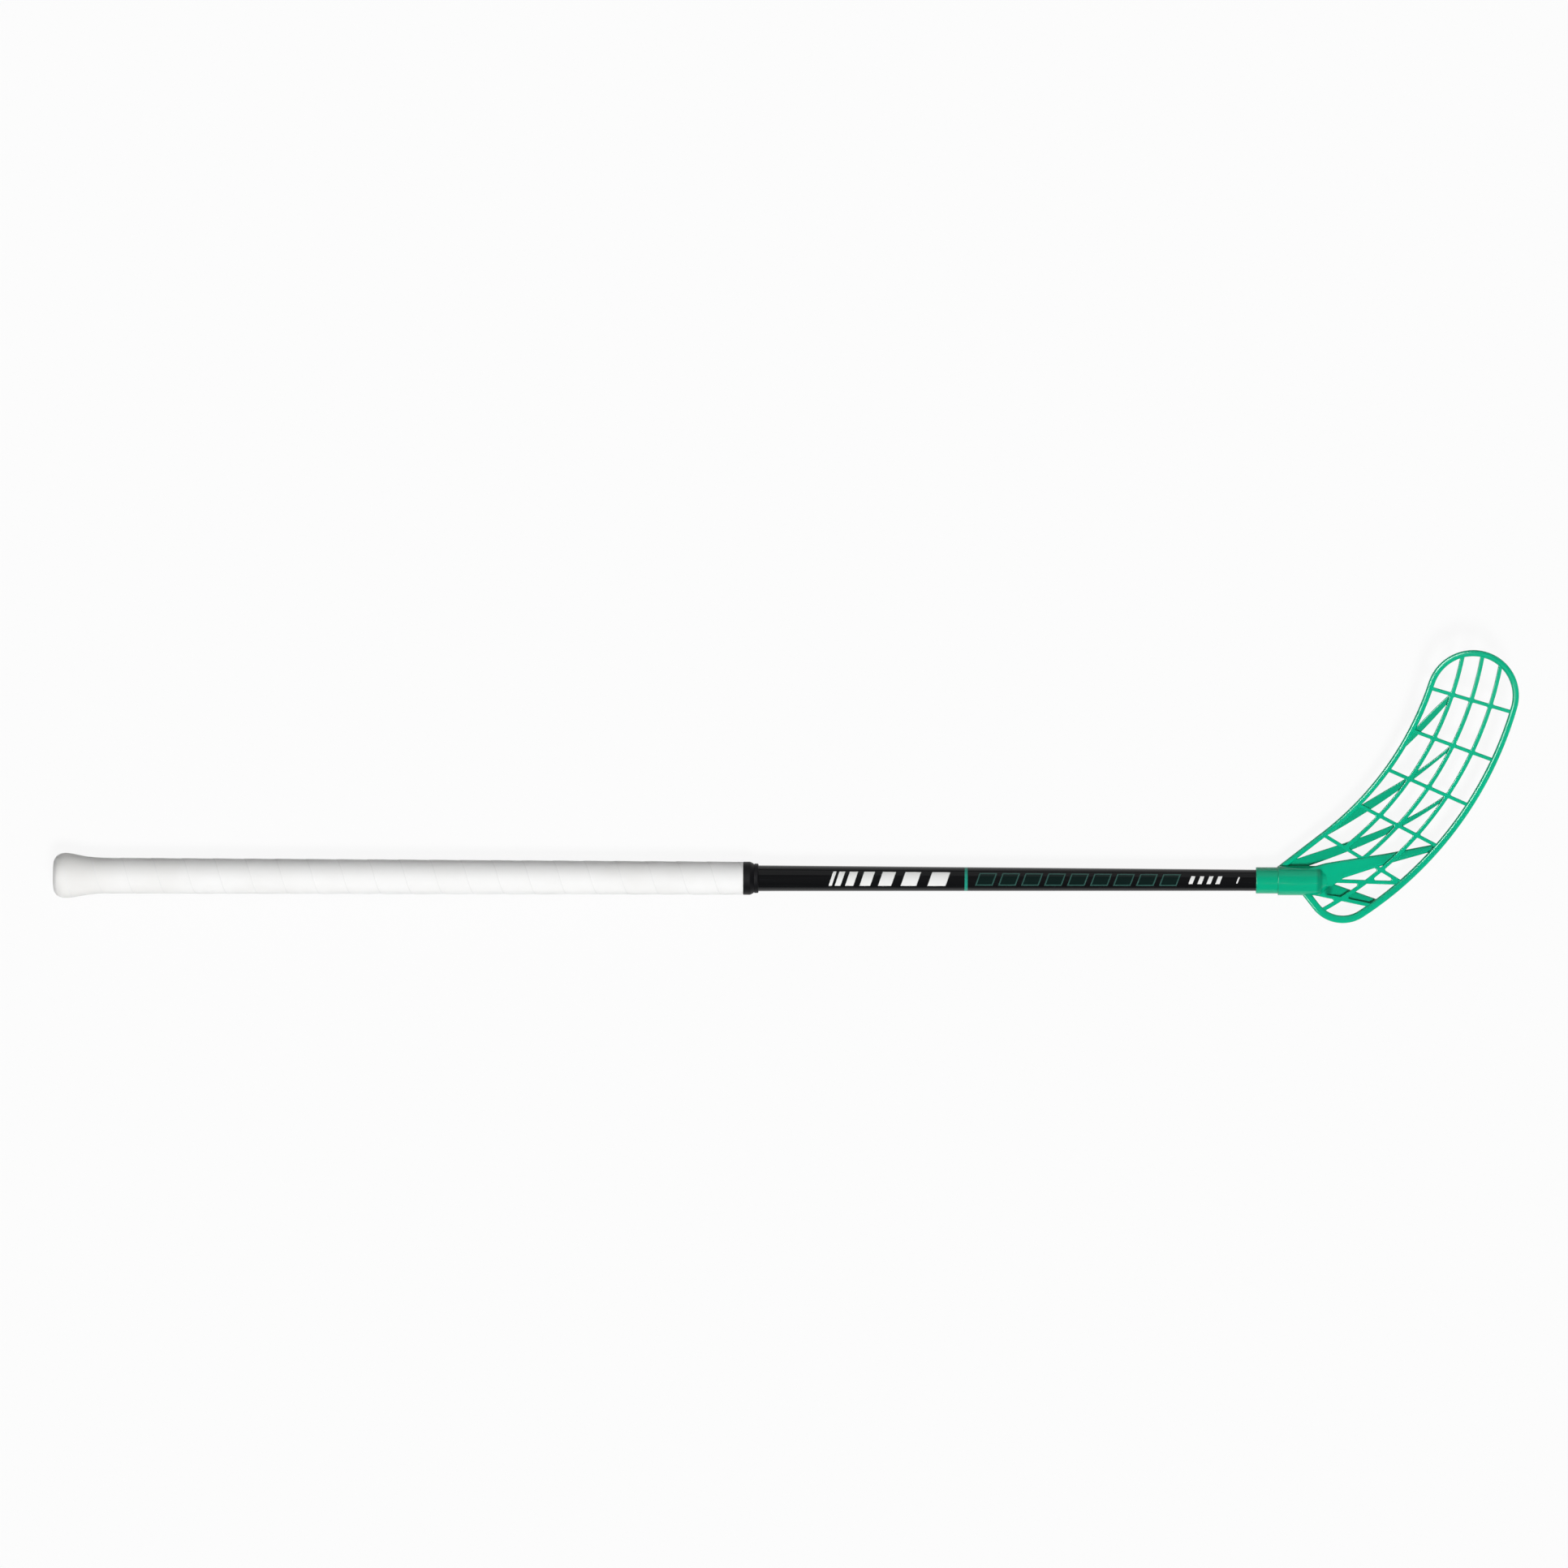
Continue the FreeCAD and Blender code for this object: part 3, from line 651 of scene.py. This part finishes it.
@dataclass(frozen=True)
class BladeFinish:
    """Semi-gloss green moulded plastic with painted shade in its recesses, over its thick socket and in the
    crease at its nose, and fine rim scuffs.
    """

    colour: Colour = (0.0, 0.46, 0.247)
    flow: Colour = (0.0, 0.42, 0.224)
    flow_scale: Triple = (0.03, 0.03, 0.06)
    flow_edge: Pair = (0.3, 0.7)
    # Colour of the painted shade in the recesses and over the socket.
    shade_colour: Colour = (0.0, 0.37, 0.197)
    heel: Pair = (1061.1, -4.1)
    long_way: Pair = (0.558, 0.830)
    hook_start: float = 10.0
    hook_radius: float = 700.0
    drop: float = 2.5
    recess_shade: Pair = (1.0, 3.2)
    socket_end: Pair = (1034.0, 1046.0)
    socket_side: Pair = (12.0, 14.5)
    socket_shade_share: float = 0.6
    # Colour of the painted shade in the crease at the socket's nose.
    crease_shade_colour: Colour = (0.0, 0.21, 0.112)
    nose_band: Triple = (1039.5, 1044.0, 2.5)
    nose_band_side: Pair = (7.0, 13.0)
    nose_band_share: float = 0.7
    nose_foot: Pair = (1050.5, -8.5)
    nose_foot_reach: Pair = (2.0, 6.5)
    nose_face: Pair = (-2.0, 0.0)
    scuffed: Colour = (0.03, 0.52, 0.34)
    scuff_share: float = 0.4
    scuff_reach: float = 1.6
    outer_centre: Pair = (914.0, 220.0)
    outer_radius: float = 299.0
    spot_scale: float = 0.8
    spot_detail: float = 5.0
    spot_edge: Pair = (0.55, 0.68)
    grain_scale: float = 1.1
    grain_depth: float = 0.00003
    grain_strength: float = 0.4
    roughness: float = 0.14
    grain_roughness: float = 0.05
    scuff_roughness: float = 0.2

    def depth(self, x: Value, y: Value, z: Value) -> Value:
        """Height over or under the blade's bent middle surface.

        Args:
            x: Distance along the shaft.
            y: Distance across it.
            z: Height.

        Returns:
            The height without its sign.
        """
        along = (x - self.heel[0]) * self.long_way[0] + (y - self.heel[1]) * self.long_way[1]
        along = along - self.hook_start
        return abs(z + self.drop - along * along / (2 * self.hook_radius))

    def socket(self, x: Value, y: Value) -> Value:
        """Mask of painted shade over the socket's thick wall, at distances along the shaft and across it."""
        return (1 - x.rising(*self.socket_end)) * (1 - abs(y).rising(*self.socket_side)) * self.socket_shade_share

    def nose_crease_shade(self, x: Value, y: Value, z: Value) -> Value:
        """Painted shade where the socket's body runs out into its nose, on the playing face.

        Args:
            x: Distance along the shaft.
            y: Distance across it.
            z: Height.

        Returns:
            1 in the crease's painted shade, 0 away from it.
        """
        band = x.between(*self.nose_band) * (1 - abs(y).rising(*self.nose_band_side)) * self.nose_band_share
        foot = 1 - away(x, y, self.nose_foot).rising(*self.nose_foot_reach)
        return band.most(foot) * z.rising(*self.nose_face)

    def scuffs(self, shader: Shader, where: bpy.types.NodeSocket) -> Value:
        """Mask of the small scuffs along the outer rim.

        Args:
            shader: The material's tree.
            where: Object coordinates in millimetres.

        Returns:
            The mask.
        """
        x, y, _ = shader.parts(where)
        inwards = self.outer_radius - away(x, y, self.outer_centre)
        spots = shader.noise(where, self.spot_scale, self.spot_detail)
        return (1 - inwards.rising(0.0, self.scuff_reach)) * spots.rising(*self.spot_edge)

    def make(self) -> bpy.types.Material:
        """Builds the material, from its flow marks up to the scuffs.

        Returns:
            The material.
        """
        shader = Shader("blade_green_plastic")
        where = shader.place()
        x, y, z = shader.parts(where)
        flow = shader.noise(shader.stretched(where, self.flow_scale))
        grain = shader.noise(where, self.grain_scale)
        scuff = self.scuffs(shader, where)
        tinted = shader.mix(flow.rising(*self.flow_edge), self.flow, self.colour)
        # Painted shade: the colour darkens where the surface lies near the blade's bent middle surface, down
        # in its recesses.
        recess_shaded = shader.mix(self.depth(x, y, z).rising(*self.recess_shade), self.shade_colour, tinted)
        # Painted shade over the socket's thick body.
        socket_shaded = shader.mix(self.socket(x, y), recess_shaded, self.shade_colour)
        # Painted shade in the crease where the socket's body runs into its nose.
        crease_shaded = shader.mix(self.nose_crease_shade(x, y, z), socket_shaded, self.crease_shade_colour)
        return shader.finish({
            "Base Color": shader.mix(scuff * self.scuff_share, crease_shaded, self.scuffed),
            "Roughness": self.roughness + grain * self.grain_roughness + scuff * self.scuff_roughness,
            "Specular IOR Level": 0.25,
            "Normal": shader.bump(grain, self.grain_depth, self.grain_strength),
        })


def dress(piece: bpy.types.Object, material: bpy.types.Material) -> None:
    """Gives a piece one material in all its slots.

    Args:
        piece: The piece.
        material: The material.
    """
    if not piece.material_slots:
        piece.data.materials.append(material)
    for slot in piece.material_slots:
        slot.material = material


def settle(mesh: bmesh.types.BMesh, name: str, material: bpy.types.Material) -> bpy.types.Object:
    """Turns a finished bmesh into a dressed object of the scene.

    Args:
        mesh: The bmesh, which is freed.
        name: The object's name.
        material: The object's material.

    Returns:
        The object.
    """
    data = bpy.data.meshes.new(name)
    mesh.to_mesh(data)
    mesh.free()
    piece = bpy.data.objects.new(name, data)
    bpy.context.scene.collection.objects.link(piece)
    dress(piece, material)
    return piece


def pick(kind: type, geom: Iterable[Any]) -> list[Any]:
    """Members of one kind among the points, edges and faces of a bmesh operator's result."""
    return [item for item in geom if isinstance(item, kind)]


@dataclass
class TapeGrip:
    """Tape wound round the handle from the butt to the collar, in millimetres.

    The profile runs across one turn of the tape, as distances from the seam with the lift there.
    """

    start: float = 3.2
    end: float = 567.5
    tail_end: float = 572.5
    tail_radius: float = 12.81
    pitch: float = 25.4
    profile: tuple[Pair, ...] = (
        (0.0, -0.11), (0.3, 0.0), (0.8, 0.09), (1.6, 0.14), (3.0, 0.15),
        (5.5, 0.14), (8.5, 0.12), (12.5, 0.08), (16.5, 0.03), (20.0, -0.01),
        (22.8, -0.04), (24.3, -0.06), (25.0, -0.08), (25.4, -0.11))
    seam_at_edge: float = 16.7
    spare_turns: int = 2
    steps: int = 72
    spun_radius: float = 20.0
    weld: float = 0.01
    cut_weld: float = 0.0001
    sharp_angle: float = math.radians(50)
    butt_lift: float = 0.15
    butt_lift_reach: float = 6.0
    collar_lift: float = 0.3
    collar_lift_reach: float = 8.0
    face_radius: float = 10.5
    knob_radius: float = 18.5
    knob_length: float = 9.4
    knob_crown: float = 9.0
    flare_end: float = 43.0
    flare_stops: tuple[float, ...] = (5.0, 14.0, 20.0, 28.0)
    shaft_butt_radius: float = 12.0
    shaft_taper: float = 1.3 / 580.3
    thickness: float = 2.75
    skirt: float = 0.65
    clearance: float = 0.05

    @property
    def seam_at_front(self) -> float:
        """Where a seam crosses the front, a quarter turn before it reaches the lower edge."""
        return self.seam_at_edge - self.pitch / 4

    def shaft_radius(self, x: float) -> float:
        """Radius of the tube under the tape at a distance from the butt."""
        return self.shaft_butt_radius - self.shaft_taper * x

    def handle_radius(self, x: float) -> float:
        """Radius of the handle with its tape on, without seams.

        Args:
            x: Distance from the butt.

        Returns:
            The radius.
        """
        foot = self.shaft_radius(self.flare_end) + self.thickness
        slope = 2 * (self.knob_radius - foot) / (self.flare_end - self.knob_length)
        meet = self.knob_length + self.knob_crown
        meet_radius = self.knob_radius - slope * self.knob_crown / 2
        if x < self.knob_length:
            back = 1 - x / self.knob_length
            return self.face_radius + (self.knob_radius - self.face_radius) * math.sqrt(1 - back * back)
        if x < meet:
            return self.knob_radius - slope * (x - self.knob_length) ** 2 / (2 * self.knob_crown)
        if x < self.flare_end:
            left = (self.flare_end - x) / (self.flare_end - meet)
            return foot + (meet_radius - foot) * left * left
        return self.shaft_radius(x) + self.thickness

    def under_radius(self, x: float) -> float:
        """Radius of what the tape is wound on.

        Args:
            x: Distance from the butt.

        Returns:
            The radius of the cap's flare, or of the tube behind it.
        """
        if x > self.flare_end:
            return self.shaft_radius(x) + self.clearance
        on_tube = self.shaft_radius(x) + self.skirt
        return max(self.handle_radius(x) - self.thickness + self.clearance, on_tube)

    def lift_share(self, x: float) -> float:
        """Share of the seams' height that is left at a distance from the butt.

        Args:
            x: Distance from the butt.

        Returns:
            1 along the grip, and less near its two ends.
        """
        from_butt = max(self.butt_lift, (x - self.start) / self.butt_lift_reach)
        from_collar = max(self.collar_lift, (self.end - x) / self.collar_lift_reach)
        return min(1.0, from_butt, from_collar)

    def wind(self, mesh: bmesh.types.BMesh) -> None:
        """Spins one turn from the tape's profile and repeats it along the whole handle.

        Args:
            mesh: The empty mesh to fill.
        """
        first = self.seam_at_front - self.spare_turns * self.pitch
        row = [mesh.verts.new((first + across, 0.0, self.spun_radius + lift))
               for across, lift in self.profile]
        edges = [mesh.edges.new(pair) for pair in zip(row, row[1:])]
        bmesh.ops.spin(mesh, geom=row + edges, cent=(0, 0, 0), axis=(1, 0, 0),
                       dvec=(self.pitch / self.steps, 0, 0), angle=math.tau, steps=self.steps,
                       use_duplicate=False)
        turn = list(mesh.verts) + list(mesh.edges) + list(mesh.faces)
        turns = math.ceil((self.end - self.start) / self.pitch) + self.spare_turns + 1
        for i in range(1, turns):
            copied = bmesh.ops.duplicate(mesh, geom=turn)["geom"]
            bmesh.ops.translate(mesh, vec=(i * self.pitch, 0, 0), verts=pick(bmesh.types.BMVert, copied))
        bmesh.ops.remove_doubles(mesh, verts=mesh.verts, dist=self.weld)

    def mark_seams(self, mesh: bmesh.types.BMesh) -> None:
        """Keeps each point's distance from the nearest seam, for the tape's finish.

        Args:
            mesh: The winding, before it follows the handle.
        """
        layer = mesh.verts.layers.float.new(SEAM_LAYER)
        for vert in mesh.verts:
            turn = math.atan2(-vert.co.y, vert.co.z) / math.tau
            phase = ((vert.co.x - self.seam_at_front) / self.pitch - turn) % 1.0
            vert[layer] = min(phase, 1 - phase) * self.pitch

    def trim(self, mesh: bmesh.types.BMesh, x: float, side: Side) -> list[bmesh.types.BMEdge]:
        """Cuts the winding off square.

        Args:
            mesh: The winding.
            x: Where to cut.
            side: The side to drop.

        Returns:
            The edges round the cut.
        """
        geom = list(mesh.verts) + list(mesh.edges) + list(mesh.faces)
        cut = bmesh.ops.bisect_plane(mesh, geom=geom, dist=self.cut_weld, plane_co=(x, 0, 0),
                                     plane_no=(side.value, 0, 0), clear_outer=True)
        return pick(bmesh.types.BMEdge, cut["geom_cut"])

    def follow_handle(self, mesh: bmesh.types.BMesh) -> None:
        """Draws the winding in onto the handle.

        Args:
            mesh: The winding at one radius.
        """
        for vert in mesh.verts:
            radius = math.hypot(vert.co.y, vert.co.z)
            lift = (radius - self.spun_radius) * self.lift_share(vert.co.x)
            share = (self.handle_radius(vert.co.x) + lift) / radius
            vert.co.y *= share
            vert.co.z *= share

    @staticmethod
    def draw_on(mesh: bmesh.types.BMesh, loop: list[bmesh.types.BMEdge], x: float,
                radius: float) -> list[bmesh.types.BMEdge]:
        """Extrudes a loop of edges to a circle.

        Args:
            mesh: The mesh.
            loop: The open loop.
            x: The circle's distance from the butt.
            radius: The circle's radius.

        Returns:
            The new loop.
        """
        grown = bmesh.ops.extrude_edge_only(mesh, edges=loop)["geom"]
        for vert in pick(bmesh.types.BMVert, grown):
            share = radius / math.hypot(vert.co.y, vert.co.z)
            vert.co = (x, vert.co.y * share, vert.co.z * share)
        return pick(bmesh.types.BMEdge, grown)

    def close(self, mesh: bmesh.types.BMesh, butt: list[bmesh.types.BMEdge],
              collar: list[bmesh.types.BMEdge]) -> None:
        """Adds the tail under the collar and the inside, and joins them.

        Args:
            mesh: The winding on the handle.
            butt: The edges round its end at the butt.
            collar: The edges round its end at the collar.
        """
        collar = self.draw_on(mesh, collar, self.end, self.tail_radius)
        collar = self.draw_on(mesh, collar, self.tail_end, self.tail_radius)
        collar = self.draw_on(mesh, collar, self.tail_end, self.under_radius(self.tail_end))
        for x in sorted((self.start, self.knob_length, *self.flare_stops, self.flare_end)):
            butt = self.draw_on(mesh, butt, x, self.under_radius(x))
        butt = self.draw_on(mesh, butt, self.flare_end, self.shaft_radius(self.flare_end) + self.clearance)
        bmesh.ops.bridge_loops(mesh, edges=butt + collar)

    def build(self, finish: Finish) -> bpy.types.Object:
        """Makes the wound tape and puts it in the place of the plain CAD layer.

        Args:
            finish: The tape's finish.

        Returns:
            The piece.
        """
        mesh = bmesh.new()
        self.wind(mesh)
        self.mark_seams(mesh)
        # Both ends are cut while the winding has one radius, so that each cut is one square ring.
        butt = self.trim(mesh, self.start, Side.BUTT)
        collar = self.trim(mesh, self.end, Side.BLADE)
        self.follow_handle(mesh)
        self.close(mesh, butt, collar)
        bmesh.ops.recalc_face_normals(mesh, faces=mesh.faces)
        bmesh.ops.transform(mesh, matrix=Matrix.Scale(MILLIMETRE, 4), verts=mesh.verts)
        for face in mesh.faces:
            face.smooth = True
        piece = settle(mesh, "wound_grip_tape", finish.make())
        piece.data.set_sharp_from_angle(angle=self.sharp_angle)
        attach(piece, "handle")
        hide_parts(Node.TAPE.value)
        return piece


@dataclass
class Moulding:
    """CAD node that keeps its own shape and gets a finish."""

    node: Node
    finish: Finish

    def build(self, nodes: dict[str, bpy.types.Object]) -> bpy.types.Object:
        """Dresses the node.

        Args:
            nodes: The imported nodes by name.

        Returns:
            The node's object.
        """
        piece = nodes[self.node.value]
        dress(piece, self.finish.make())
        return piece


@dataclass
class Studio:
    """Pale floor, soft light and the camera above the stick, in metres."""

    floor_size: float = 40.0
    floor_gap: float = 0.0005
    floor_colour: Colour = (0.66, 0.66, 0.66)
    floor_white_share: float = 0.92
    room_colour: Colour = (1.0, 1.0, 1.0)
    room_strength: float = 0.20
    key_strength: float = 2.85
    key_angle: float = math.radians(14)
    key_tilt: Pair = (0.15, -0.45)
    gleam_strength: float = 5.0
    gleam_angle: float = math.radians(30)
    gleam_tilts: tuple[Pair, ...] = ((-0.75, 0.25), (-0.75, -0.35))
    panel_power: float = 20.0
    panel_size: Pair = (5.0, 2.0)
    panel_place: Triple = (0.6, 1.9, 1.3)
    panel_target: Triple = (0.6, 0.0, 0.0)
    camera_middle: Pair = (0.6009, 0.0777)
    camera_reach: float = 100.0
    frame_width: float = 1.2906
    lens: float = 300.0
    sensor: float = 36.0
    roll: float = math.radians(0.235)

    def lay_floor(self, height: float) -> None:
        """Lays the floor under the stick.

        Args:
            height: Lowest height of the stick.
        """
        mesh = bmesh.new()
        bmesh.ops.create_grid(mesh, x_segments=1, y_segments=1, size=self.floor_size / 2)
        bmesh.ops.translate(mesh, vec=(*self.camera_middle, height - self.floor_gap), verts=mesh.verts)
        floor = settle(mesh, "floor", self.floor_material())
        floor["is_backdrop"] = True

    def floor_material(self) -> bpy.types.Material:
        """Makes a pale matt floor that the camera and reflections see as nearly white.

        Returns:
            The material.
        """
        shader = Shader("floor_pale")
        light = shader.node("ShaderNodeLightPath")
        seen = [Value(shader, light.outputs[name]) for name in
                ("Is Camera Ray", "Is Glossy Ray", "Is Transmission Ray")]
        share = seen[0].most(seen[1]).most(seen[2]) * self.floor_white_share
        matt = shader.node("ShaderNodeBsdfDiffuse", None, {"Color": opaque(self.floor_colour)})
        white = shader.node("ShaderNodeEmission", None, {"Strength": 1.0})
        both = shader.node("ShaderNodeMixShader", None,
                           {0: share, 1: matt.outputs[0], 2: white.outputs[0]})
        shader.node("ShaderNodeOutputMaterial", None, {"Surface": both.outputs[0]})
        return shader.material

    @staticmethod
    def lamp(name: str, kind: Lamp, settings: dict[str, Any], place: Triple,
             target: Triple = (0.0, 0.0, 0.0)) -> bpy.types.Object:
        """Hangs one lamp.

        Args:
            name: The lamp's name.
            kind: The lamp's kind.
            settings: The lamp's own settings.
            place: Where it hangs.
            target: What it points at.

        Returns:
            The lamp.
        """
        data = bpy.data.lights.new(name, kind.value)
        for key, value in settings.items():
            setattr(data, key, value)
        lamp = bpy.data.objects.new(name, data)
        lamp.location = place
        lamp.rotation_euler = (Vector(target) - Vector(place)).to_track_quat("-Z", "Y").to_euler()
        bpy.context.scene.collection.objects.link(lamp)
        return lamp

    def hang_lamps(self) -> None:
        """Hangs the key light, and the lights that only gleam on gloss."""
        sun = {"energy": self.key_strength, "angle": self.key_angle}
        key = self.lamp("key", Lamp.SUN, sun, (*self.key_tilt, 1.0))
        key.visible_glossy = False
        sun = {"energy": self.gleam_strength, "angle": self.gleam_angle}
        for tilt in self.gleam_tilts:
            gleam = self.lamp("gleam", Lamp.SUN, sun, (*tilt, 1.0))
            gleam.visible_diffuse = False
        strip = {"energy": self.panel_power, "shape": "RECTANGLE",
                 "size": self.panel_size[0], "size_y": self.panel_size[1]}
        panel = self.lamp("panel", Lamp.PANEL, strip, self.panel_place, self.panel_target)
        panel.visible_diffuse = False

    def light_room(self) -> None:
        """Lights the room evenly from all sides."""
        world = bpy.data.worlds.new("studio")
        world.use_nodes = True
        sky = world.node_tree.nodes["Background"]
        sky.inputs["Color"].default_value = opaque(self.room_colour)
        sky.inputs["Strength"].default_value = self.room_strength
        bpy.context.scene.world = world

    def hang_camera(self) -> None:
        """Hangs the camera straight above the stick, turned by the photo's small roll."""
        data = bpy.data.cameras.new("camera")
        data.lens = self.lens
        data.sensor_width = self.sensor
        data.clip_end = self.camera_reach
        camera = bpy.data.objects.new("camera", data)
        camera.location = (*self.camera_middle, self.frame_width * self.lens / self.sensor)
        camera.rotation_euler = (0.0, 0.0, self.roll)
        bpy.context.scene.collection.objects.link(camera)
        bpy.context.scene.camera = camera


def plain(box: Iterable[Iterable[float]]) -> list[list[float]]:
    """Box corners as plain lists of numbers."""
    return [[float(number) for number in corner] for corner in box]


def main() -> None:
    """Builds the stick's looks and the studio round it."""
    logging.basicConfig(level=logging.INFO, format="%(name)s: %(message)s")
    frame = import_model()
    cad_box = plain(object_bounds())
    mouldings = [
        Moulding(Node.SHAFT, ShaftFinish()),
        Moulding(Node.CAP, CAP_RUBBER),
        Moulding(Node.COLLAR, COLLAR_RUBBER),
        Moulding(Node.GLUE, GlueFinish()),
        Moulding(Node.BLADE, BladeFinish()),
    ]
    for moulding in mouldings:
        LOG.info("dressed %s", moulding.build(frame["nodes"]).name)
    tape = TapeGrip().build(TapeFinish())
    LOG.info("wound %s, %d faces", tape.name, len(tape.data.polygons))
    studio = Studio()
    studio.lay_floor(cad_box[0][2])
    studio.hang_lamps()
    studio.light_room()
    studio.hang_camera()
    bpy.context.scene.view_settings.view_transform = "Standard"


if __name__ == "__main__":
    main()
